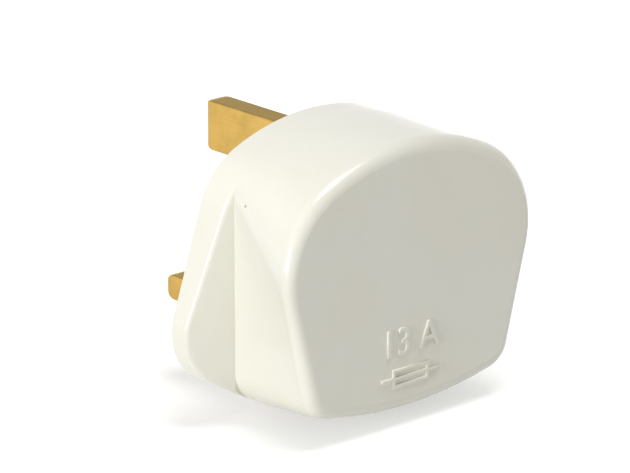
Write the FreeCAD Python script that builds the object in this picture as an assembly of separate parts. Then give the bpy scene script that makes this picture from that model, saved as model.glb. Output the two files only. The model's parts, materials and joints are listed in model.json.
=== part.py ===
import FreeCAD, Part
import math
import os

# Rewirable fused plug with three flat pins, in millimetres.
# X is to the right as seen from the cover, +Y is the way the pins point, +Z is up.
# The origin is on the engagement face, on the axis of the cover screw.
# A depth runs from the engagement face towards the back of the cover, along -Y.

# Pins, to the standard for 13 A plugs
line_pin_spacing = 22.23
earth_pin_offset = 22.23
pin_thickness = 3.97
earth_pin_width = 7.92
line_pin_width = 6.35
earth_pin_length = 22.73
line_pin_length = 17.70
pin_edge_radius = 0.35
pin_nose_length = 2.0
pin_nose_rings = 5
pin_tip_thickness = 1.4
pin_tip_narrowing = 0.7
slot_gap = 0.1
sleeve_length = 9.2
sleeve_root = 1.2
sleeve_wall = 0.7

# Outline of the moulding, set out from the pins and seen from the cover
body_depth = 22.5
crown_margin = 3.2
foot_margin = 13.2
crown_radius = 38.0
flange_shoulder_margin = 8.5
flange_shoulder_radius = 12.5
flange_flare = 18.5
flange_corner_radius = 9.0
flange_foot_radius = 42.0
back_shoulder_margin = 11.2
back_shoulder_radius = 15.5
back_taper = 15.0
back_corner_radius = 5.0
back_foot_radius = 80.0
back_edge_radius = 2.0
back_edge_rings = 6
core_stations = 5
back_foot_rise = 2.5
draft_angle = 1.4

# Finger grips: on both sides the back of the flange slopes from its rim up to a straight seam,
# and from the seam the side of the core leans out to the back.
grip_inset = 2.3
grip_depth = 5.7
grip_brow_radius = 5.0
grip_corner_radius = 5.0
rim_thickness = 3.2
rim_edge_radius = 0.8

# Walls and fits of the two mouldings
side_wall = 2.4
back_wall = 2.6
skirt_wall = 2.2
plate_thickness = 2.4
platform_rise = 1.8
moulding_gap = 0.15
least_inner_radius = 0.6

# Pillar terminals and their screws
terminal_width = 7.6
terminal_height = 8.0
earth_terminal_height = 8.4
earth_terminal_drop = 0.9
terminal_depth = 8.8
terminal_shoulder = 0.6
wire_hole_radius = 1.7
wire_hole_rise = 3.6
terminal_shank_radius = 1.5
terminal_shank_length = 6.0
terminal_head_radius = 2.3
terminal_head_height = 1.8
screw_slot_width = 0.9
screw_slot_depth = 0.9
thread_gap = 0.05
pocket_wall = 1.2
pocket_height = 6.0

# Cartridge fuse, its two spring clips and the live terminal above it
fuse_length = 25.4
fuse_cap_radius = 3.175
fuse_cap_length = 5.6
fuse_cap_wall = 0.25
fuse_tube_bore = 2.2
fuse_wire_radius = 0.25
fuse_inset = 0.5
fuse_rise = 4.6
fuse_gap = 0.03
clip_thickness = 0.6
clip_length = 4.8
clip_mouth = 3.6
clip_seat_rise = 2.3
stake_radius = 1.2
live_terminal_width = 6.0
live_terminal_height = 5.0
live_terminal_depth = 6.6
live_terminal_gap = 0.9
live_wire_hole_radius = 1.4
live_wire_hole_rise = 2.6

# Cover screw, its nut and the washer that keeps it in the base
cover_shank_radius = 1.75
cover_head_radius = 3.4
cover_head_height = 2.0
cover_head_recess = 0.8
screw_tip_room = 0.8
screw_hole_gap = 0.15
boss_radius = 4.4
base_boss_height = 4.2
nut_radius = 3.0
nut_length = 5.0
washer_radius = 2.8
washer_thickness = 0.8
washer_pocket_depth = 1.2

# Cord entry and cord grip
entry_radius = 4.0
entry_sill = 0.2
entry_cheek = 1.6
tongue_wall = 4.6
grip_bar_length = 14.0
grip_bar_width = 3.8
grip_bar_thickness = 2.4
grip_bar_ridge = 0.7
grip_bar_rise = 6.4
grip_post_radius = 1.7
grip_post_height = 4.4
grip_screw_spacing = 10.2
grip_screw_radius = 1.1
grip_screw_length = 6.0
grip_head_radius = 1.9
grip_head_height = 1.5
saddle_rib_height = 0.8
saddle_rib_width = 1.2

# Ribs under the cover that hold the terminals and the fuse down
hold_rib_width = 1.2
hold_rib_gap = 0.2

# Places of the pins and of the outline's arcs
earth_z = earth_pin_offset / 2
line_z = -earth_pin_offset / 2
line_x = line_pin_spacing / 2
top_height = earth_z + earth_pin_width / 2 + crown_margin
bottom_height = pin_thickness / 2 + foot_margin - line_z
flange_shoulder_reach = line_x + line_pin_width / 2 + flange_shoulder_margin
back_shoulder_reach = line_x + line_pin_width / 2 + back_shoulder_margin
crown_z = top_height - crown_radius
grip_half_width = flange_shoulder_reach - grip_inset
draft = math.tan(math.radians(draft_angle))
whole = 4 * back_shoulder_reach

# Depths and heights of the pieces inside
platform_depth = plate_thickness + platform_rise
ceiling_depth = body_depth - back_wall
earth_terminal_z = earth_z - earth_terminal_drop
neutral_terminal_width = line_pin_width + 2 * terminal_shoulder
terminal_top = platform_depth + terminal_depth
fuse_x = line_x - fuse_inset
clip_seat_depth = platform_depth + clip_seat_rise
clip_top = clip_seat_depth + clip_thickness
clip_radius = fuse_cap_radius + fuse_gap
fuse_depth = clip_top + clip_radius
fuse_z = line_z + fuse_rise
fuse_low_z = fuse_z - fuse_length / 2
fuse_high_z = fuse_z + fuse_length / 2
line_clip_z = fuse_low_z + fuse_cap_length / 2
load_clip_z = fuse_high_z - fuse_cap_length / 2
fuse_tube_radius = fuse_cap_radius - fuse_cap_wall - fuse_gap
fuse_tube_end = fuse_cap_wall + fuse_gap
live_terminal_x = fuse_x - live_terminal_gap
live_terminal_z = fuse_high_z + live_terminal_gap + live_terminal_height / 2
live_terminal_top = clip_top + live_terminal_depth
screw_seat_depth = cover_head_recess + cover_head_height
base_boss_top = platform_depth + base_boss_height
nut_depth = base_boss_top + washer_pocket_depth
nut_end = nut_depth + nut_length
cover_shank_length = nut_end - screw_seat_depth
entry_depth = platform_depth + entry_sill + entry_radius
tongue_z = tongue_wall - bottom_height
grip_bar_z = grip_bar_rise - bottom_height
grip_post_top = platform_depth + grip_post_height
grip_bar_top = grip_post_top + grip_bar_thickness
grip_screw_places = (-grip_screw_spacing / 2, grip_screw_spacing / 2)
same_place = 1e-6


def point(x, depth, z):
    return FreeCAD.Vector(x, -depth, z)


def block(x0, x1, depth0, depth1, z0, z1):
    return Part.makeBox(x1 - x0, depth1 - depth0, z1 - z0, point(x0, depth1, z0))


def centred_block(x, width_x, depth0, depth1, z, width_z):
    return block(x - width_x / 2, x + width_x / 2, depth0, depth1, z - width_z / 2, z + width_z / 2)


def post(x, z, radius, depth0, depth1):
    """A round post or hole along the depth."""
    return Part.makeCylinder(radius, depth1 - depth0, point(x, depth0, z), FreeCAD.Vector(0, -1, 0))


def upright(x, depth, radius, z0, z1):
    """A round post or hole along Z."""
    return Part.makeCylinder(radius, z1 - z0, point(x, depth, z0), FreeCAD.Vector(0, 0, 1))


def joined(shapes):
    return shapes[0].multiFuse(shapes[1:]).removeSplitter()


def between(first, last, share):
    return first + (last - first) * share


def quarter_turns(steps):
    """The angles of a rounding's rings."""
    return [math.radians(90 * step / steps) for step in range(steps + 1)]


def shoulder(reach, radius):
    """The centre and radius of a right shoulder, tangent to the crown."""
    x = reach - radius
    return x, crown_z + math.sqrt((crown_radius - radius) ** 2 - x**2), radius


def corner(brow_arc, lean, foot_arc, radius):
    """The centre and radius of a right corner, tangent to a brow's leaning side and to the foot."""
    brow_x, brow_z, brow_radius = brow_arc
    foot_z, foot_radius = foot_arc
    side_x, side_z = math.cos(lean), math.sin(lean)
    start_x = brow_x + (brow_radius - radius) * side_x
    start_z = brow_z + (brow_radius - radius) * side_z - foot_z
    along = start_x * side_z - start_z * side_x
    spare = (foot_radius - radius) ** 2 - start_x**2 - start_z**2
    run = math.sqrt(along**2 + spare) - along
    return start_x + run * side_z, start_z - run * side_x + foot_z, radius


def outline(depth, inset, shoulder_arc, brow_arc, brow_turn, lean, corner_arc, foot_arc):
    """A closed outline at one depth: crown, shoulders, brows, sides, corners and a shallow foot."""
    crown_turn = math.atan2(shoulder_arc[1] - crown_z, shoulder_arc[0])
    foot_turn = math.atan2(corner_arc[1] - foot_arc[0], corner_arc[0])

    def arc(x, z, radius, turn, end_turn):
        reach = radius - inset
        turns = (turn, (turn + end_turn) / 2, end_turn)
        return [point(x + reach * math.cos(t), depth, z + reach * math.sin(t)) for t in turns]

    right = [
        arc(*shoulder_arc, crown_turn, brow_turn),
        arc(*brow_arc, brow_turn, lean),
        arc(*corner_arc, lean, foot_turn),
    ]
    left = []
    for ends in right:
        left.append([FreeCAD.Vector(-end.x, end.y, end.z) for end in reversed(ends)])
    edges = [
        Part.Arc(*arc(0, crown_z, crown_radius, math.pi - crown_turn, crown_turn)),
        Part.Arc(*right[0]),
        Part.Arc(*right[1]),
        Part.LineSegment(right[1][-1], right[2][0]),
        Part.Arc(*right[2]),
        Part.Arc(*arc(0, *foot_arc, foot_turn, -math.pi - foot_turn)),
        Part.Arc(*left[2]),
        Part.LineSegment(left[2][-1], left[1][0]),
        Part.Arc(*left[1]),
        Part.Arc(*left[0]),
    ]
    return Part.Wire([edge.toShape() for edge in edges])


def core_outline(depth, inset):
    """The core's outline at one depth, between the seams of the grips and the back."""
    share = (depth - grip_depth) / (body_depth - grip_depth)
    inset += (depth - grip_depth) * draft
    least_radius = inset + least_inner_radius
    shoulder_reach = between(flange_shoulder_reach, back_shoulder_reach, share)
    shoulder_radius = between(flange_shoulder_radius, back_shoulder_radius, share)
    shoulder_arc = shoulder(shoulder_reach, shoulder_radius)

    seam_brow_radius = max(grip_brow_radius, least_radius)
    brow_turn = math.acos(1 - grip_inset / (flange_shoulder_radius - seam_brow_radius))
    brow_radius = between(seam_brow_radius, back_shoulder_radius, share)
    brow_x = shoulder_arc[0] + (shoulder_radius - brow_radius) * math.cos(brow_turn)
    brow_z = shoulder_arc[1] + (shoulder_radius - brow_radius) * math.sin(brow_turn)
    brow_arc = (brow_x, brow_z, brow_radius)

    lean = -math.radians(back_taper) * share
    foot_radius = between(flange_foot_radius, back_foot_radius, share)
    foot_arc = (foot_radius - bottom_height + back_foot_rise * share, foot_radius)
    corner_radius = between(grip_corner_radius, back_corner_radius, share)
    corner_arc = corner(brow_arc, lean, foot_arc, max(corner_radius, least_radius))
    return outline(depth, inset, shoulder_arc, brow_arc, brow_turn, lean, corner_arc, foot_arc)


def flange_corner():
    """The centre and radius of the flange's right corner."""
    side = shoulder(flange_shoulder_reach, flange_shoulder_radius)
    foot_arc = (flange_foot_radius - bottom_height, flange_foot_radius)
    return corner(side, math.radians(flange_flare), foot_arc, flange_corner_radius)


def flange(depth1, inset):
    """The wide front of the plug, with sides that flare out from the shoulders."""
    arc = shoulder(flange_shoulder_reach, flange_shoulder_radius)
    lean = math.radians(flange_flare)
    brow_turn = between(lean, math.radians(90), 1 / 2)
    foot_arc = (flange_foot_radius - bottom_height, flange_foot_radius)
    wire = outline(0, inset, arc, arc, brow_turn, lean, flange_corner(), foot_arc)
    return Part.Face(wire).extrude(point(0, depth1, 0)).removeSplitter()


def waist(depth1, inset):
    """A straight part with the core's outline at the seams of the grips."""
    seam = Part.Face(core_outline(grip_depth, inset))
    seam.translate(point(0, -grip_depth, 0))
    return seam.extrude(point(0, depth1, 0))


def core(depth1, inset):
    """The core behind the flange, from the seams of the grips to a depth."""
    stations = []
    for step in range(core_stations):
        share = step / (core_stations - 1)
        stations.append(core_outline(between(grip_depth, depth1, share), inset))
    return Part.makeLoft(stations, True, False)


def rounded_core():
    """The core with a rounded edge round its back."""
    edge_depth = body_depth - back_edge_radius
    rings = []
    for turn in quarter_turns(back_edge_rings):
        depth = edge_depth + back_edge_radius * math.sin(turn)
        rings.append(core_outline(depth, back_edge_radius * (1 - math.cos(turn))))
    return joined([core(edge_depth, 0), Part.makeLoft(rings, True, False)])


def gripped_flange():
    """The flange with the slopes of both finger grips and a rounded rim."""
    corner_x, _, corner_radius = flange_corner()
    run = corner_x + corner_radius - grip_half_width
    slope = (grip_depth - rim_thickness) / run
    blank = flange(grip_depth, 0)
    form = blank
    for side in (-1, 1):
        seam = point(side * grip_half_width, grip_depth, -whole)
        low = point(side * (grip_half_width + 2 * run), grip_depth - 2 * run * slope, -whole)
        high = point(side * (grip_half_width + 2 * run), grip_depth, -whole)
        wedge = Part.Face(Part.makePolygon([seam, low, high, seam]))
        form = form.cut(wedge.extrude(FreeCAD.Vector(0, 0, 2 * whole)))
    rim = []
    for edge in form.Edges:
        middle = edge.valueAt((edge.FirstParameter + edge.LastParameter) / 2)
        slope_depth = grip_depth - slope * (abs(middle.x) - grip_half_width)
        on_blank = blank.Shells[0].distToShape(Part.Vertex(middle))[0] < same_place
        past_seam = abs(middle.x) - grip_half_width > same_place
        if on_blank and past_seam and abs(middle.y + slope_depth) < same_place:
            rim.append(edge)
    return form.makeFillet(rim_edge_radius, rim)


def outer_form():
    """The outside of the closed plug without its pins."""
    return joined([gripped_flange(), rounded_core()])


def section(x, z, y, width_x, width_z):
    """A flat pin's section with softened corners, at one place along Y."""
    reach_x = width_x / 2 - pin_edge_radius
    reach_z = width_z / 2 - pin_edge_radius
    corners = []
    for quarter, (side_x, side_z) in enumerate(((1, 1), (-1, 1), (-1, -1), (1, -1))):
        turns = [math.radians(90 * quarter + step) for step in (0, 45, 90)]
        corners.append(
            [
                FreeCAD.Vector(
                    x + side_x * reach_x + pin_edge_radius * math.cos(turn),
                    y,
                    z + side_z * reach_z + pin_edge_radius * math.sin(turn),
                )
                for turn in turns
            ]
        )
    edges = []
    for corner, following in zip(corners, corners[1:] + corners[:1]):
        edges.append(Part.Arc(*corner))
        edges.append(Part.LineSegment(corner[-1], following[0]))
    return Part.Wire([edge.toShape() for edge in edges])


def bar(x, z, y0, y1, width_x, width_z):
    return Part.Face(section(x, z, y0, width_x, width_z)).extrude(FreeCAD.Vector(0, y1 - y0, 0))


def tip_width(width):
    """A nose ends thin across the pin's thickness and a little narrower across its width."""
    return pin_tip_thickness if width == pin_thickness else width - 2 * pin_tip_narrowing


def blade(x, z, y0, length, width_x, width_z):
    """A pin from y0 to its rounded nose."""
    nose_y = length - pin_nose_length
    rings = []
    for turn in quarter_turns(pin_nose_rings):
        ring_x = between(tip_width(width_x), width_x, math.cos(turn))
        ring_z = between(tip_width(width_z), width_z, math.cos(turn))
        rings.append(section(x, z, nose_y + pin_nose_length * math.sin(turn), ring_x, ring_z))
    shank = bar(x, z, y0, nose_y, width_x, width_z)
    return joined([shank, Part.makeLoft(rings, True, False)])


def line_blade(x):
    """A current-carrying pin with a waist for its sleeve."""
    waist_x = line_pin_width - 2 * sleeve_wall
    waist_z = pin_thickness - 2 * sleeve_wall
    root = bar(x, line_z, -platform_depth, -sleeve_root, line_pin_width, pin_thickness)
    waist = bar(x, line_z, -sleeve_root, sleeve_length, waist_x, waist_z)
    tip = blade(x, line_z, sleeve_length, line_pin_length, line_pin_width, pin_thickness)
    return joined([root, waist, tip])


def pillar_terminal(x, z, width, height):
    """A brass pillar on the platform, with a hole for the wire and a tapped hole for its screw."""
    wire_depth = platform_depth + wire_hole_rise
    pillar = centred_block(x, width, platform_depth, terminal_top, z, height)
    pillar = pillar.cut(upright(x, wire_depth, wire_hole_radius, z - height, z + height))
    return pillar.cut(post(x, z, terminal_shank_radius + thread_gap, wire_depth, terminal_top))


def slotted_head(x, z, radius, seat, end):
    """A screw's head from its seat to its slotted end."""
    head = post(x, z, radius, min(seat, end), max(seat, end))
    slot_floor = end - math.copysign(screw_slot_depth, end - seat)
    return head.cut(
        centred_block(x, screw_slot_width, min(slot_floor, end), max(slot_floor, end), z, 2 * radius)
    )


def fuse_clip(z):
    """A spring clip, open towards the cover, on its seat under one cap of the fuse."""
    low, high = z - clip_length / 2, z + clip_length / 2
    ring = upright(fuse_x, fuse_depth, clip_radius + clip_thickness, low, high)
    ring = ring.cut(upright(fuse_x, fuse_depth, clip_radius, low, high))
    return ring.cut(centred_block(fuse_x, clip_mouth, fuse_depth, ceiling_depth, z, clip_length))


def make_cover():
    shell = outer_form()
    shell = shell.cut(waist(grip_depth, side_wall))
    shell = shell.cut(core(ceiling_depth, side_wall))
    shell = shell.cut(flange(plate_thickness, skirt_wall))

    inside = [shell, post(0, 0, boss_radius, base_boss_top, ceiling_depth)]
    held = (
        (0, earth_terminal_z, terminal_width, earth_terminal_height),
        (-line_x, line_z, neutral_terminal_width, terminal_height),
    )
    for x, z, width, height in held:
        for side in (-1, 1):
            rib_x = x + side * (width - hold_rib_width) / 2
            rib = centred_block(rib_x, hold_rib_width, terminal_top + hold_rib_gap, ceiling_depth, z, height)
            inside.append(rib)
    saddle = centred_block(fuse_x, 2 * fuse_tube_radius, fuse_depth, ceiling_depth, fuse_z, hold_rib_width)
    tube_room = upright(fuse_x, fuse_depth, fuse_tube_radius + hold_rib_gap, fuse_low_z, fuse_high_z)
    inside.append(saddle.cut(tube_room))
    shell = joined(inside)

    shell = shell.cut(post(0, 0, nut_radius, base_boss_top, nut_end))
    shell = shell.cut(post(0, 0, cover_shank_radius + screw_hole_gap, nut_end, nut_end + screw_tip_room))
    gate = entry_radius + entry_cheek
    shell = shell.cut(block(-gate, gate, 0, entry_depth, -whole, tongue_z))
    return shell.cut(upright(0, entry_depth, entry_radius, -whole, tongue_z))


def terminal_walls():
    """Walls that keep the earth and neutral terminals from turning."""
    top = platform_depth + pocket_height
    walls = []
    for side in (-1, 1):
        x = side * (terminal_width / 2 + moulding_gap + pocket_wall / 2)
        walls.append(centred_block(x, pocket_wall, 0, top, earth_terminal_z, earth_terminal_height))
    inner_x = neutral_terminal_width / 2 + moulding_gap - line_x
    low_z = line_z - terminal_height / 2
    high_z = line_z + terminal_height / 2 + moulding_gap
    walls.append(block(inner_x, inner_x + pocket_wall, 0, top, low_z, high_z + pocket_wall))
    walls.append(block(-line_x, inner_x + pocket_wall, 0, top, high_z, high_z + pocket_wall))
    return walls


def fuse_supports():
    """The fence beside the fuse, the seat of its load clip and a cradle under its tube."""
    fence_x = fuse_x - clip_radius - clip_thickness - moulding_gap
    low_z = fuse_z - fuse_cap_length
    supports = [block(fence_x - pocket_wall, fence_x, 0, fuse_depth, low_z, load_clip_z)]
    supports.append(
        block(
            live_terminal_x - live_terminal_width / 2,
            fuse_x + clip_radius,
            0,
            clip_seat_depth,
            load_clip_z - clip_length / 2,
            live_terminal_z + live_terminal_height / 2,
        )
    )
    tube_room = upright(fuse_x, fuse_depth, fuse_tube_radius + fuse_gap, fuse_low_z, fuse_high_z)
    cradle = centred_block(fuse_x, 2 * fuse_tube_radius, 0, fuse_depth, fuse_z, pocket_wall)
    supports.append(cradle.cut(tube_room))
    return supports


def cord_supports():
    """Posts and ribs of the cord grip, and the tongue that closes the cord entry."""
    supports = [post(x, grip_bar_z, grip_post_radius, 0, grip_post_top) for x in grip_screw_places]
    rib_top = platform_depth + saddle_rib_height
    for z in (grip_bar_z - grip_bar_width / 4, grip_bar_z + grip_bar_width / 4):
        supports.append(centred_block(0, 2 * entry_radius, 0, rib_top, z, saddle_rib_width))
    cheek = entry_radius + entry_cheek - moulding_gap
    gate = block(-cheek, cheek, 0, entry_depth - moulding_gap, -whole, tongue_z)
    tongue = outer_form().common(gate)
    supports.append(tongue.cut(upright(0, entry_depth, entry_radius, -whole, whole)))
    return supports


def make_base():
    plate = flange(plate_thickness, skirt_wall + moulding_gap)
    platform = waist(platform_depth, side_wall + moulding_gap)
    boss = post(0, 0, boss_radius, 0, base_boss_top)
    base = joined([plate, platform, boss] + terminal_walls() + fuse_supports() + cord_supports())

    slots = [(0, earth_z, pin_thickness, earth_pin_width)]
    slots += [(side * line_x, line_z, line_pin_width, pin_thickness) for side in (-1, 1)]
    for x, z, width_x, width_z in slots:
        room = 2 * slot_gap
        base = base.cut(bar(x, z, -platform_depth, 0, width_x + room, width_z + room))
    base = base.cut(post(0, 0, cover_head_radius + screw_hole_gap, 0, screw_seat_depth))
    base = base.cut(post(0, 0, cover_shank_radius + screw_hole_gap, 0, base_boss_top))
    stake_room = stake_radius + thread_gap
    base = base.cut(post(live_terminal_x, live_terminal_z, stake_room, plate_thickness, clip_seat_depth))
    for x in grip_screw_places:
        screw_room = grip_screw_radius + thread_gap
        base = base.cut(post(x, grip_bar_z, screw_room, grip_bar_top - grip_screw_length, grip_post_top))
    return base


def make_earth_pin():
    pin = blade(0, earth_z, -platform_depth, earth_pin_length, pin_thickness, earth_pin_width)
    return joined([pin, pillar_terminal(0, earth_terminal_z, terminal_width, earth_terminal_height)])


def make_neutral_pin():
    terminal = pillar_terminal(-line_x, line_z, neutral_terminal_width, terminal_height)
    return joined([line_blade(-line_x), terminal])


def make_live_pin():
    head = block(
        fuse_x - clip_radius,
        fuse_x + clip_radius,
        platform_depth,
        clip_seat_depth,
        line_clip_z - clip_length / 2,
        line_z + pin_thickness / 2 + terminal_shoulder,
    )
    stake = post(fuse_x, line_clip_z, stake_radius, clip_seat_depth, clip_seat_depth + clip_thickness / 2)
    return joined([line_blade(line_x), head, stake])


def make_sleeve(x):
    outside = bar(x, line_z, -sleeve_root, sleeve_length, line_pin_width, pin_thickness)
    return outside.cut(line_blade(x))


def make_terminal_screws():
    live_shank_length = live_terminal_depth - live_wire_hole_rise
    places = (
        (0, earth_terminal_z, terminal_top, terminal_shank_length),
        (-line_x, line_z, terminal_top, terminal_shank_length),
        (live_terminal_x, live_terminal_z, live_terminal_top, live_shank_length),
    )
    screws = []
    for x, z, seat, length in places:
        head = slotted_head(x, z, terminal_head_radius, seat, seat + terminal_head_height)
        screws.append(joined([head, post(x, z, terminal_shank_radius, seat - length, seat)]))
    return Part.Compound(screws)


def make_live_terminal():
    x, z = live_terminal_x, live_terminal_z
    wire_depth = clip_top + live_wire_hole_rise
    pillar = centred_block(x, live_terminal_width, clip_top, live_terminal_top, z, live_terminal_height)
    start = point(x - live_terminal_width, wire_depth, z)
    pillar = pillar.cut(
        Part.makeCylinder(live_wire_hole_radius, 2 * live_terminal_width, start, FreeCAD.Vector(1, 0, 0))
    )
    pillar = pillar.cut(post(x, z, terminal_shank_radius + thread_gap, wire_depth, live_terminal_top))
    return joined([pillar, post(x, z, stake_radius, plate_thickness, clip_top)])


def make_line_clip():
    stake_hole = post(fuse_x, line_clip_z, stake_radius + thread_gap, clip_seat_depth, fuse_depth)
    return fuse_clip(line_clip_z).cut(stake_hole)


def make_load_clip():
    strip = block(
        live_terminal_x - live_terminal_width / 2,
        live_terminal_x + live_terminal_width / 2,
        clip_seat_depth,
        clip_top,
        load_clip_z,
        live_terminal_z + live_terminal_height / 2,
    )
    strip = strip.cut(upright(fuse_x, fuse_depth, clip_radius, fuse_low_z, fuse_high_z))
    stake_hole = post(live_terminal_x, live_terminal_z, stake_radius + thread_gap, clip_seat_depth, clip_top)
    return joined([fuse_clip(load_clip_z), strip]).cut(stake_hole)


def make_fuse_tube():
    low, high = fuse_low_z + fuse_tube_end, fuse_high_z - fuse_tube_end
    tube = upright(fuse_x, fuse_depth, fuse_tube_radius, low, high)
    return tube.cut(upright(fuse_x, fuse_depth, fuse_tube_bore, low, high))


def make_fuse_cap(end_z, inward):
    edge_z = end_z + inward * fuse_cap_length
    floor_z = end_z + inward * fuse_cap_wall
    cap = upright(fuse_x, fuse_depth, fuse_cap_radius, min(end_z, edge_z), max(end_z, edge_z))
    room = fuse_tube_radius + fuse_gap
    return cap.cut(upright(fuse_x, fuse_depth, room, min(floor_z, edge_z), max(floor_z, edge_z)))


def make_fuse_filler():
    low, high = fuse_low_z + fuse_tube_end, fuse_high_z - fuse_tube_end
    sand = upright(fuse_x, fuse_depth, fuse_tube_bore - fuse_gap, low, high)
    return sand.cut(upright(fuse_x, fuse_depth, fuse_wire_radius + fuse_gap, low, high))


def make_fuse_wire():
    low, high = fuse_low_z + fuse_cap_wall, fuse_high_z - fuse_cap_wall
    return upright(fuse_x, fuse_depth, fuse_wire_radius, low, high)


def make_grip_bar():
    end_radius = grip_bar_width / 2
    end_x = grip_bar_length / 2 - end_radius
    solids = [centred_block(0, 2 * end_x, grip_post_top, grip_bar_top, grip_bar_z, grip_bar_width)]
    solids += [post(x, grip_bar_z, end_radius, grip_post_top, grip_bar_top) for x in (-end_x, end_x)]
    ridge_length = grip_screw_spacing - 2 * grip_post_radius - 2 * moulding_gap
    ridge_depth = grip_post_top - grip_bar_ridge
    solids.append(centred_block(0, ridge_length, ridge_depth, grip_post_top, grip_bar_z, saddle_rib_width))
    clamp = joined(solids)
    for x in grip_screw_places:
        clamp = clamp.cut(
            post(x, grip_bar_z, grip_screw_radius + screw_hole_gap, grip_post_top, grip_bar_top)
        )
    return clamp


def make_grip_screws():
    screws = []
    for x in grip_screw_places:
        head = slotted_head(x, grip_bar_z, grip_head_radius, grip_bar_top, grip_bar_top + grip_head_height)
        shank = post(x, grip_bar_z, grip_screw_radius, grip_bar_top - grip_screw_length, grip_bar_top)
        screws.append(joined([head, shank]))
    return Part.Compound(screws)


def make_cover_screw():
    head = slotted_head(0, 0, cover_head_radius, screw_seat_depth, cover_head_recess)
    shank = post(0, 0, cover_shank_radius, screw_seat_depth, screw_seat_depth + cover_shank_length)
    return joined([head, shank])


def ring(radius, depth0, depth1):
    """A ring on the cover screw's shank."""
    hole = post(0, 0, cover_shank_radius + thread_gap, depth0, depth1)
    return post(0, 0, radius, depth0, depth1).cut(hole)


nodes = {
    "cover": make_cover(),
    "base": make_base(),
    "earth_pin": make_earth_pin(),
    "neutral_pin": make_neutral_pin(),
    "live_pin": make_live_pin(),
    "neutral_pin_sleeve": make_sleeve(-line_x),
    "live_pin_sleeve": make_sleeve(line_x),
    "terminal_screws": make_terminal_screws(),
    "live_terminal": make_live_terminal(),
    "line_fuse_clip": make_line_clip(),
    "load_fuse_clip": make_load_clip(),
    "fuse_tube": make_fuse_tube(),
    "fuse_line_cap": make_fuse_cap(fuse_low_z, 1),
    "fuse_load_cap": make_fuse_cap(fuse_high_z, -1),
    "fuse_filler": make_fuse_filler(),
    "fuse_wire": make_fuse_wire(),
    "cord_grip_bar": make_grip_bar(),
    "cord_grip_screws": make_grip_screws(),
    "cover_screw": make_cover_screw(),
    "cover_nut": ring(nut_radius, nut_depth, nut_end),
    "screw_washer": ring(washer_radius, base_boss_top, base_boss_top + washer_thickness),
}

os.makedirs("parts", exist_ok=True)
for name, shape in nodes.items():
    shape.exportStep(f"parts/{name}.step")
    print(f"{name}: valid {shape.isValid()}, solids {len(shape.Solids)}, volume {shape.Volume:.1f}")
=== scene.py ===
import json
import math

import bpy
from mathutils import Matrix, Vector


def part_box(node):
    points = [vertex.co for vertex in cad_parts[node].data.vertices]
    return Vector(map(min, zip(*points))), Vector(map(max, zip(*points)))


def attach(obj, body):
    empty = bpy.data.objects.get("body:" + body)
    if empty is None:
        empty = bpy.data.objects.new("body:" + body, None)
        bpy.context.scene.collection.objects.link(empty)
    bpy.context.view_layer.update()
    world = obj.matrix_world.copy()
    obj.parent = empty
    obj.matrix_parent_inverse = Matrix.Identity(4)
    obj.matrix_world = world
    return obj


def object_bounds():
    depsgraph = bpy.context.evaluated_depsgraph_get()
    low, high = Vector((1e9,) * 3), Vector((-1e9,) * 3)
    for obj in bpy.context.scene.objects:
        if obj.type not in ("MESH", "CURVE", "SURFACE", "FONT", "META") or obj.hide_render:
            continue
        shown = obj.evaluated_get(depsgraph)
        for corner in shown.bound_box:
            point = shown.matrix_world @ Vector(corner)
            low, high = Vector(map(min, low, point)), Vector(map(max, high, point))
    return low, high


# The photograph's frame in pixels, and the pixel on which the part's origin falls.
# The origin lies in the face that the pins stand on.
PHOTO_WIDTH = 630
PHOTO_HEIGHT = 473
ORIGIN_PIXEL_X = 312.0
ORIGIN_PIXEL_Y = 223.0

# The camera stands behind the plug, to its left and a little above it
CAMERA_AZIMUTH = math.radians(-42.0)
CAMERA_ELEVATION = math.radians(18.0)
CAMERA_DISTANCE = 0.70
PIXELS_PER_METRE = 6600.0
SENSOR_WIDTH = 36.0

# The rating raised on the back, and the plain fuse symbol under it
RATING = "13 A"
RATING_HEIGHT = 0.0042
RATING_PLACE = Vector((-0.0006, 0.0, -0.0128))
CAPITAL_HEIGHT = 0.7  # of the font's size
SYMBOL_PLACE = Vector((-0.0006, 0.0, -0.0182))
SYMBOL_LENGTH = 0.0068
SYMBOL_HEIGHT = 0.0024
SYMBOL_STROKE = 0.00030
SYMBOL_LEAD = 0.0022
RAISED = 0.00030
RAISED_EDGE = 0.00014
RAISED_EDGE_STEPS = 3
SUNK = 0.00015
UPRIGHT = Matrix.Rotation(math.radians(90.0), 4, "X")

# The moulded plastic. A texture's scale is its number of waves in a metre.
IVORY = (0.790, 0.777, 0.688, 1.0)
AGED_IVORY = (0.740, 0.711, 0.588, 1.0)
AGEING_SCALE = 55.0
AGEING_RANGE = (0.35, 0.75)
AGEING_SHARE = 0.45
SKIN_SCALE = 900.0
SKIN_STRENGTH = 0.12
SKIN_DEPTH = 0.00006
WEAR_SCALE = 180.0
PLASTIC_ROUGHNESS = 0.20
PLASTIC_WEAR = 0.06
PLASTIC_IOR = 1.52
PLASTIC_COAT = 0.18
PLASTIC_COAT_ROUGHNESS = 0.09

# A dark speck in the plastic, on the left side near the top of the finger grip
SPECK_BROWN = (0.10, 0.075, 0.05, 1.0)
SPECK_PLACE = (-0.02111, -0.00887, 0.00922)
SPECK_RADIUS = 0.00032
SPECK_CORE = 0.00016
SPECK_SHARE = 0.55

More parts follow.
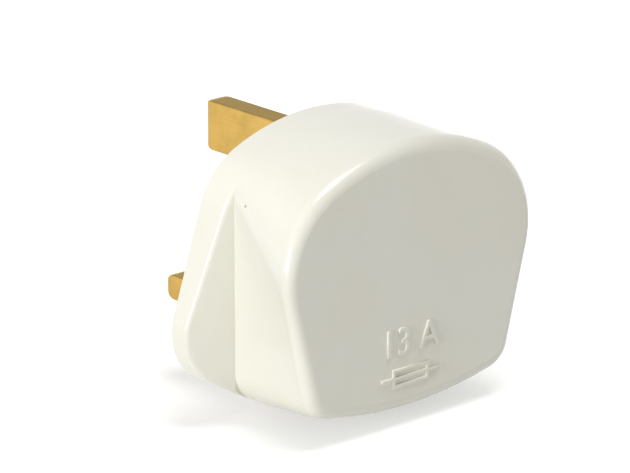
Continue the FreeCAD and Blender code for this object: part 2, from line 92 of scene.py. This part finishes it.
# Brass as (clean tone, roughness)
BRASSES = {
    "pin_brass": ((0.645, 0.415, 0.114, 1.0), 0.24),
    "screw_brass": ((0.74, 0.53, 0.23, 1.0), 0.20),
    "clip_brass": ((0.76, 0.58, 0.29, 1.0), 0.18),
}
BRASS_EDGE = (0.88, 0.83, 0.70, 1.0)
LINE_STRETCH = (1.0, 0.03, 1.0)
LINE_SCALE = 5200.0
LINE_STRENGTH = 0.15
LINE_DEPTH = 0.00004
LINE_ROUGHNESS = 0.18

# The tarnish on the brass and the painted shade on its top faces: what their amount is added up
# from, and how far it shows
TARNISH_AND_SHADE_TONE = (0.185, 0.125, 0.032, 1.0)
TARNISH_SCALE = 320.0
TARNISH_IN_CLOUDS = 0.45
TARNISH_IN_LINES = 0.2
# Painted shade: this share darkens the faces that point up, as if they lay in shade
PAINTED_TOP_SHADE_WEIGHT = 0.5
TARNISH_AND_SHADE_RANGE = (0.175, 0.825)
# Painted shade: the slopes between faces with no painted top shade and faces with full painted top
# shade
PAINTED_TOP_SHADE_SLOPE = (0.55, 0.95)
TARNISH_AND_SHADE_SHARE = 0.8
TARNISH_ROUGHNESS = 0.12

# Plated metal as (tone, roughness)
PLATED_METALS = {
    "fuse_cap_plate": ((0.62, 0.62, 0.61, 1.0), 0.20),
    "screw_steel": ((0.56, 0.56, 0.54, 1.0), 0.28),
}
PLATE_SCALE = 600.0
PLATE_DARKENING = 0.8
PLATE_ROUGHNESS = 0.15

# Dull materials as (light tone, dark tone, roughness, scale of the grain)
DULL_MATERIALS = {
    "sleeve_black": ((0.018, 0.018, 0.019, 1.0), (0.03, 0.03, 0.03, 1.0), 0.40, 1500.0),
    "fuse_ceramic": ((0.72, 0.69, 0.61, 1.0), (0.64, 0.60, 0.52, 1.0), 0.60, 900.0),
    "fuse_sand": ((0.50, 0.43, 0.31, 1.0), (0.36, 0.29, 0.19, 1.0), 0.85, 5000.0),
    "grip_fibre": ((0.13, 0.035, 0.018, 1.0), (0.09, 0.02, 0.012, 1.0), 0.55, 1400.0),
}
GRAIN_STRENGTH = 0.2
GRAIN_DEPTH = 0.00005
GRAIN_ROUGHNESS = 0.12

# The studio: a pale floor that turns white between two distances from the plug,
# an even surround, and soft lamps as (place, size, watts)
WHITE = (1.0, 1.0, 1.0, 1.0)
FLOOR_GREY = (0.70, 0.70, 0.69, 1.0)
FLOOR_GLOW = (0.48, 0.48, 0.48, 1.0)
FLOOR_REACH = 6.0
SHADOW_REACH = 0.10
WHITE_REACH = 0.35
SURROUND_LIGHT = 0.38
LAMPS = {
    "left_lamp": ((-0.88, -0.12, 0.11), 0.28, 4.8),
    "top_lamp": ((0.02, -0.18, 0.90), 0.46, 4.3),
    "front_lamp": ((0.42, 0.86, 0.16), 0.40, 1.2),
}


class Value:
    """A shader socket that can stand in a Python sum."""

    def __init__(self, shader, socket):
        self.shader = shader
        self.socket = socket

    def maths(self, operation, first, second):
        return self.shader.node("ShaderNodeMath", {"operation": operation}, {0: first, 1: second})

    def __add__(self, other):
        return self.maths("ADD", self, other)

    def __sub__(self, other):
        return self.maths("SUBTRACT", self, other)

    def __rsub__(self, other):
        return self.maths("SUBTRACT", other, self)

    def __mul__(self, other):
        return self.maths("MULTIPLY", self, other)

    __radd__ = __add__
    __rmul__ = __mul__


class Shader:
    """The node tree of a material or of the world."""

    def __init__(self, owner):
        self.owner = owner
        owner.use_nodes = True
        self.tree = owner.node_tree
        self.tree.nodes.clear()

    def node(self, kind, settings=None, inputs=None, output=0):
        """Adds a node, makes its settings, fills its sockets and returns one of its outputs."""
        made = self.tree.nodes.new(kind)
        for name, setting in (settings or {}).items():
            setattr(made, name, setting)
        for key, given in (inputs or {}).items():
            socket = made.inputs[key]
            if isinstance(given, Value):
                self.tree.links.new(given.socket, socket)
            else:
                socket.default_value = given
        return Value(self, made.outputs[output]) if made.outputs else None

    def vector_maths(self, operation, inputs, output=0):
        return self.node("ShaderNodeVectorMath", {"operation": operation}, inputs, output)

    def place(self, scale=(1.0, 1.0, 1.0), origin=(0.0, 0.0, 0.0)):
        """Object coordinates, moved to an origin and then stretched."""
        coordinates = self.node("ShaderNodeTexCoord", output="Object")
        moved = self.vector_maths("SUBTRACT", {0: coordinates, 1: origin})
        return self.vector_maths("MULTIPLY", {0: moved, 1: scale})

    def distance(self, origin):
        """How far a point of the object lies from another point."""
        return self.vector_maths("LENGTH", {0: self.place(origin=origin)}, "Value")

    def noise(self, place, scale, detail=3.0, roughness=0.55):
        inputs = {"Vector": place, "Scale": scale, "Detail": detail, "Roughness": roughness}
        return self.node("ShaderNodeTexNoise", None, inputs, "Fac")

    def ramp(self, value, low, high):
        """0 below low, 1 above high."""
        inputs = {"Value": value, "From Min": low, "From Max": high}
        return self.node("ShaderNodeMapRange", {"interpolation_type": "SMOOTHSTEP"}, inputs)

    def mix(self, factor, first, second):
        """A colour between two others; 6, 7 and 2 are the Mix node's colour sockets."""
        inputs = {0: factor, 6: first, 7: second}
        return self.node("ShaderNodeMix", {"data_type": "RGBA"}, inputs, 2)

    def bump(self, height, strength, distance):
        inputs = {"Height": height, "Strength": strength, "Distance": distance}
        return self.node("ShaderNodeBump", None, inputs, "Normal")

    def seen(self):
        """1 for what the camera sees, straight, mirrored or through glass, and 0 for light."""
        straight = self.node("ShaderNodeLightPath", output="Is Camera Ray")
        mirrored = self.node("ShaderNodeLightPath", output="Is Glossy Ray")
        through = self.node("ShaderNodeLightPath", output="Is Transmission Ray")
        rays = straight + mirrored + through
        return self.node("ShaderNodeMath", {"operation": "MINIMUM"}, {0: rays, 1: 1.0})

    def surface(self, **inputs):
        """Finishes a material with a Principled shader and returns the material."""
        named = {name.replace("_", " "): given for name, given in inputs.items()}
        finish = self.node("ShaderNodeBsdfPrincipled", None, named)
        self.node("ShaderNodeOutputMaterial", None, {"Surface": finish})
        return self.owner


def new_finish(name):
    return Shader(bpy.data.materials.new(name))


def ivory_moulding():
    """Glossy ivory plastic with faint uneven yellowing, a soft moulded skin and one dark speck."""
    shader = new_finish("ivory_moulding")
    ageing = shader.ramp(shader.noise(shader.place(), AGEING_SCALE), *AGEING_RANGE)
    plain = shader.mix(AGEING_SHARE * ageing, IVORY, AGED_IVORY)
    speck = 1.0 - shader.ramp(shader.distance(SPECK_PLACE), SPECK_CORE, SPECK_RADIUS)
    skin = shader.noise(shader.place(), SKIN_SCALE, detail=2.0)
    wear = shader.noise(shader.place(), WEAR_SCALE, detail=4.0)
    return shader.surface(
        Base_Color=shader.mix(SPECK_SHARE * speck, plain, SPECK_BROWN),
        Roughness=PLASTIC_ROUGHNESS + PLASTIC_WEAR * wear,
        IOR=PLASTIC_IOR,
        Coat_Weight=PLASTIC_COAT,
        Coat_Roughness=PLASTIC_COAT_ROUGHNESS,
        Normal=shader.bump(skin, SKIN_STRENGTH, SKIN_DEPTH),
    )


def drawn_brass(name, clean, roughness):
    """Brass with fine lines along the pins, cloudy tarnish, and painted shade that darkens the
    faces on top.
    """
    shader = new_finish(name)
    lines = shader.noise(shader.place(LINE_STRETCH), LINE_SCALE, detail=4.0)
    clouds = shader.noise(shader.place(), TARNISH_SCALE, detail=5.0)
    facing = shader.node("ShaderNodeNewGeometry", output="Normal")
    upwards = shader.node("ShaderNodeSeparateXYZ", None, {0: facing}, "Z")
    # Painted shade: faces that point up are darkened along with the tarnish
    painted_top_shade = shader.ramp(upwards, *PAINTED_TOP_SHADE_SLOPE)
    spread = TARNISH_IN_CLOUDS * clouds + TARNISH_IN_LINES * lines + PAINTED_TOP_SHADE_WEIGHT * painted_top_shade
    tarnish_and_top_shade = shader.ramp(spread, *TARNISH_AND_SHADE_RANGE)
    # The tarnish colour also serves as the painted shade on the top faces
    return shader.surface(
        Base_Color=shader.mix(TARNISH_AND_SHADE_SHARE * tarnish_and_top_shade, clean, TARNISH_AND_SHADE_TONE),
        Metallic=1.0,
        Roughness=roughness + LINE_ROUGHNESS * lines + TARNISH_ROUGHNESS * tarnish_and_top_shade,
        Specular_Tint=BRASS_EDGE,
        Normal=shader.bump(lines, LINE_STRENGTH, LINE_DEPTH),
    )


def plated_metal(name, bright, roughness):
    """Plated metal with a slightly cloudy polish."""
    shader = new_finish(name)
    clouds = shader.noise(shader.place(), PLATE_SCALE, detail=4.0)
    red, green, blue, alpha = bright
    cloudy = (PLATE_DARKENING * red, PLATE_DARKENING * green, PLATE_DARKENING * blue, alpha)
    return shader.surface(
        Base_Color=shader.mix(clouds, bright, cloudy),
        Metallic=1.0,
        Roughness=roughness + PLATE_ROUGHNESS * clouds,
    )


def dull_material(name, light, dark, roughness, scale):
    """A dull grained material such as sleeve plastic, fibre, ceramic or sand."""
    shader = new_finish(name)
    grain = shader.noise(shader.place(), scale, detail=5.0)
    return shader.surface(
        Base_Color=shader.mix(grain, light, dark),
        Roughness=roughness + GRAIN_ROUGHNESS * grain,
        Normal=shader.bump(grain, GRAIN_STRENGTH, GRAIN_DEPTH),
    )


def finish_for_slot():
    """One finish for each material slot of the record."""
    finishes = {"ivory_moulding": ivory_moulding()}
    kinds = (
        (drawn_brass, BRASSES),
        (plated_metal, PLATED_METALS),
        (dull_material, DULL_MATERIALS),
    )
    for make, table in kinds:
        for name, looks in table.items():
            finishes[name] = make(name, *looks)
    return finishes


def dress_nodes(frame, finishes):
    """Gives every solid the finish that its slot names."""
    for part in frame["record"]["subparts"]:
        mesh = frame["nodes"][part["node"]].data
        mesh.materials.clear()
        mesh.materials.append(finishes[part["material_slot"]])


def rating_letters():
    """The rating as a flat curve."""
    curve = bpy.data.curves.new("raised_rating", "FONT")
    curve.body = RATING
    curve.align_x = "CENTER"
    curve.align_y = "CENTER"
    curve.size = RATING_HEIGHT / CAPITAL_HEIGHT
    curve.offset = -RAISED_EDGE / 2
    return curve


def fuse_symbol():
    """An oblong with a line through it, as a flat curve: one outer edge and two holes."""
    stroke = SYMBOL_STROKE / 2
    inner_x, outer_x = SYMBOL_LENGTH / 2 - stroke, SYMBOL_LENGTH / 2 + stroke
    inner_y, outer_y = SYMBOL_HEIGHT / 2 - stroke, SYMBOL_HEIGHT / 2 + stroke
    lead_x = outer_x + SYMBOL_LEAD
    upper_edge = [(outer_x, outer_y), (outer_x, stroke), (lead_x, stroke)]
    right_edge = upper_edge + [(x, -y) for x, y in reversed(upper_edge)]
    edges = [
        right_edge + [(-x, y) for x, y in reversed(right_edge)],
        [(inner_x, inner_y), (-inner_x, inner_y), (-inner_x, stroke), (inner_x, stroke)],
        [(inner_x, -stroke), (-inner_x, -stroke), (-inner_x, -inner_y), (inner_x, -inner_y)],
    ]
    curve = bpy.data.curves.new("raised_fuse_symbol", "CURVE")
    curve.dimensions = "2D"
    for edge in edges:
        spline = curve.splines.new("POLY")
        spline.points.add(len(edge) - 1)
        for corner, (x, y) in zip(spline.points, edge):
            corner.co = (x, y, 0.0, 1.0)
        spline.use_cyclic_u = True
    return curve


def raised_mark(curve, place, back_y, finish):
    """A flat curve raised on the back with softened edges, read from behind the plug."""
    curve.fill_mode = "BOTH"
    curve.extrude = (RAISED + SUNK) / 2 - RAISED_EDGE
    curve.bevel_depth = RAISED_EDGE
    curve.bevel_resolution = RAISED_EDGE_STEPS
    flat = bpy.data.objects.new("flat_mark", curve)
    bpy.context.collection.objects.link(flat)
    bpy.context.view_layer.update()
    evaluated = flat.evaluated_get(bpy.context.evaluated_depsgraph_get())
    mesh = bpy.data.meshes.new_from_object(evaluated)
    bpy.data.objects.remove(flat)
    middle = place + Vector((0.0, back_y - (RAISED - SUNK) / 2, 0.0))
    mesh.transform(Matrix.Translation(middle) @ UPRIGHT)
    mesh.materials.clear()
    mesh.materials.append(finish)
    mark = bpy.data.objects.new(curve.name, mesh)
    bpy.context.collection.objects.link(mark)
    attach(mark, "root")


def floor(level):
    """A pale floor that keeps the plug's shadow and glows white, without lighting the plug."""
    shader = new_finish("pale_floor")
    lit = shader.node("ShaderNodeBsdfDiffuse", None, {"Color": FLOOR_GREY})
    far = shader.ramp(shader.distance((0.0, 0.0, level)), SHADOW_REACH, WHITE_REACH)
    paleness = shader.mix(far, FLOOR_GLOW, WHITE)
    glow = shader.node("ShaderNodeEmission", None, {"Color": paleness, "Strength": shader.seen()})
    white = shader.node("ShaderNodeAddShader", None, {0: lit, 1: glow})
    shader.node("ShaderNodeOutputMaterial", None, {"Surface": white})
    mesh = bpy.data.meshes.new("floor")
    sides = ((-1, -1), (1, -1), (1, 1), (-1, 1))
    corners = [(FLOOR_REACH * x, FLOOR_REACH * y, level) for x, y in sides]
    mesh.from_pydata(corners, [], [range(len(corners))])
    mesh.materials.append(shader.owner)
    made = bpy.data.objects.new("floor", mesh)
    bpy.context.collection.objects.link(made)


def studio_world():
    """An even white surround: plain white to the camera, softer as light."""
    world = bpy.data.worlds.new("studio")
    bpy.context.scene.world = world
    shader = Shader(world)
    level = SURROUND_LIGHT + (1.0 - SURROUND_LIGHT) * shader.seen()
    surround = shader.node("ShaderNodeBackground", None, {"Color": WHITE, "Strength": level})
    shader.node("ShaderNodeOutputWorld", None, {"Surface": surround})


def lamp(name, place, size, watts):
    """A round soft lamp aimed at the plug."""
    data = bpy.data.lights.new(name, "AREA")
    data.shape = "DISK"
    data.size = size
    data.energy = watts
    made = bpy.data.objects.new(name, data)
    made.location = place
    made.rotation_euler = (-Vector(place)).to_track_quat("-Z", "Y").to_euler()
    bpy.context.collection.objects.link(made)


def camera():
    """A far view with a long lens, aimed so that the origin falls on its pixel."""
    back = Vector(
        (
            math.sin(CAMERA_AZIMUTH) * math.cos(CAMERA_ELEVATION),
            -math.cos(CAMERA_AZIMUTH) * math.cos(CAMERA_ELEVATION),
            math.sin(CAMERA_ELEVATION),
        )
    )
    turn = (-back).to_track_quat("-Z", "Y")
    right = turn @ Vector((1.0, 0.0, 0.0))
    up = turn @ Vector((0.0, 1.0, 0.0))
    aim = right * (PHOTO_WIDTH / 2 - ORIGIN_PIXEL_X) + up * (ORIGIN_PIXEL_Y - PHOTO_HEIGHT / 2)
    data = bpy.data.cameras.new("camera")
    data.sensor_width = SENSOR_WIDTH
    data.lens = SENSOR_WIDTH * PIXELS_PER_METRE * CAMERA_DISTANCE / PHOTO_WIDTH
    made = bpy.data.objects.new("camera", data)
    made.location = aim / PIXELS_PER_METRE + back * CAMERA_DISTANCE
    made.rotation_mode = "QUATERNION"
    made.rotation_quaternion = turn
    bpy.context.collection.objects.link(made)
    bpy.context.scene.camera = made


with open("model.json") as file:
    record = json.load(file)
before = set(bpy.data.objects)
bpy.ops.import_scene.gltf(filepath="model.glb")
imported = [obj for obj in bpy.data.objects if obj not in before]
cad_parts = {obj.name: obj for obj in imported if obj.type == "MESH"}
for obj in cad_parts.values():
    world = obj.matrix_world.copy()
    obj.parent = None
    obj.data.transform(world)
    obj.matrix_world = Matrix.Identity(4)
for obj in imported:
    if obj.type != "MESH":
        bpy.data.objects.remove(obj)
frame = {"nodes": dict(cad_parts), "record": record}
cad_low, cad_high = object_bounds()
finishes = finish_for_slot()
dress_nodes(frame, finishes)

back_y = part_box("cover")[0][1]
raised_mark(rating_letters(), RATING_PLACE, back_y, finishes["ivory_moulding"])
raised_mark(fuse_symbol(), SYMBOL_PLACE, back_y, finishes["ivory_moulding"])

floor(cad_low[2])
studio_world()
for name, (place, size, watts) in LAMPS.items():
    lamp(name, place, size, watts)
camera()
bpy.context.scene.view_settings.view_transform = "Standard"
